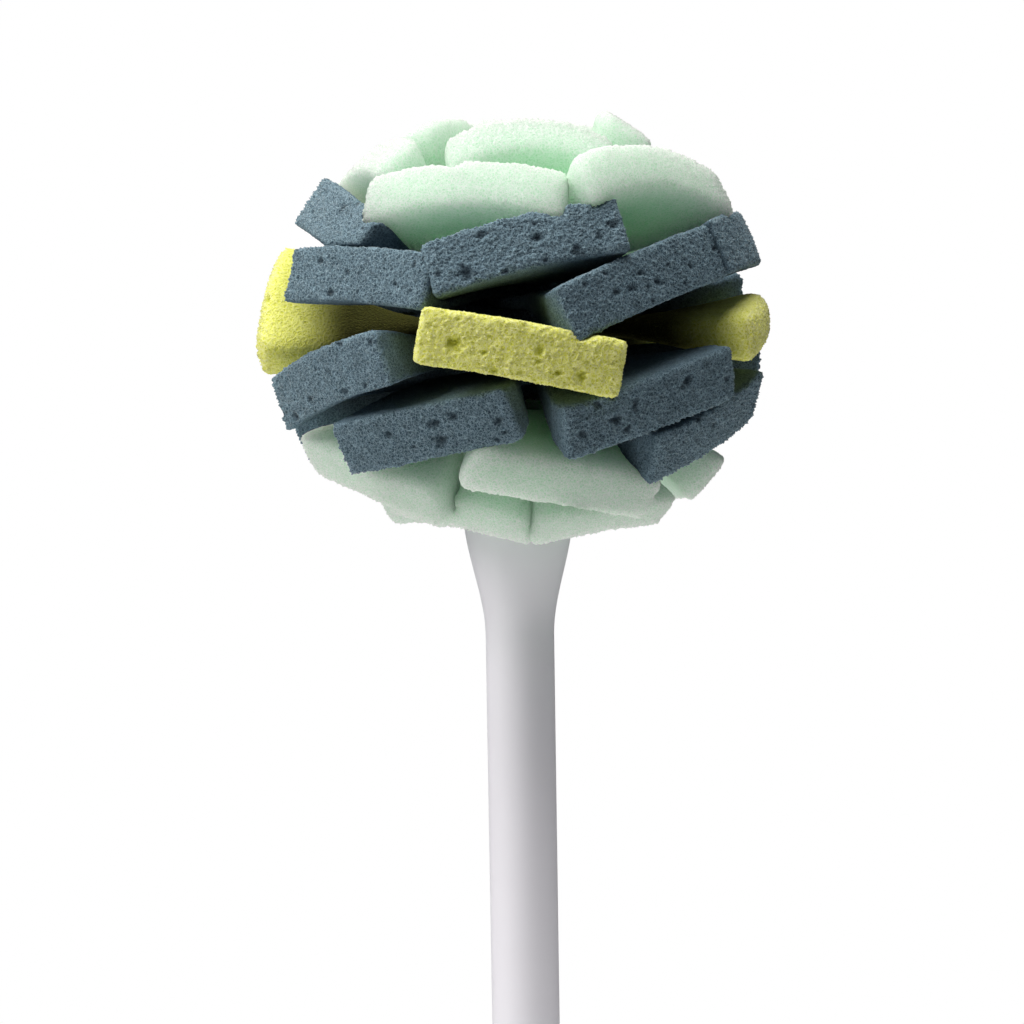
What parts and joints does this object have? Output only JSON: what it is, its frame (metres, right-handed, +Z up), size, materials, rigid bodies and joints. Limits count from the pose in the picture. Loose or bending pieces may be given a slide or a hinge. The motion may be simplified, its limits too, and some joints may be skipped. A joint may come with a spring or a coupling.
{
  "type": "sponge dish brush",
  "caption": "Dish brush whose head is a ball of crossed foam sponge strips in mint, slate and yellow, pinched on a pin at the top of a round white plastic handle with a hanging hole.",
  "frame": {"origin": "centre of the flat lower end of the handle", "axes": "+Z up along the handle towards the sponge head, -Y towards the pictured side, +X to its right"},
  "size_m": [0.1055, 0.1042, 0.2713],
  "materials": {
    "white_plastic": "satin white moulded polypropylene",
    "clamp_nylon": "natural nylon",
    "mint_foam": "fine soft polyurethane foam, cut",
    "slate_foam": "coarse open-cell foam, cut, with pores",
    "yellow_foam": "coarse open-cell foam, cut, with pores"
  },
  "bodies": {
    "root": {"handle": "white_plastic", "core_pin": "clamp_nylon", "lower_disc": "clamp_nylon", "upper_disc": "clamp_nylon", "retaining_cap": "clamp_nylon", "mint_top_strip_1": "mint_foam", "mint_top_strip_2": "mint_foam", "mint_top_strip_3": "mint_foam", "mint_top_strip_4": "mint_foam", "slate_upper_strip_1": "slate_foam", "slate_upper_strip_2": "slate_foam", "slate_upper_strip_3": "slate_foam", "slate_upper_strip_4": "slate_foam", "yellow_middle_strip_1": "yellow_foam", "yellow_middle_strip_2": "yellow_foam", "slate_lower_strip_1": "slate_foam", "slate_lower_strip_2": "slate_foam", "slate_lower_strip_3": "slate_foam", "slate_lower_strip_4": "slate_foam", "mint_bottom_strip_1": "mint_foam", "mint_bottom_strip_2": "mint_foam", "mint_bottom_strip_3": "mint_foam", "mint_bottom_strip_4": "mint_foam"}
  },
  "joints": []
}
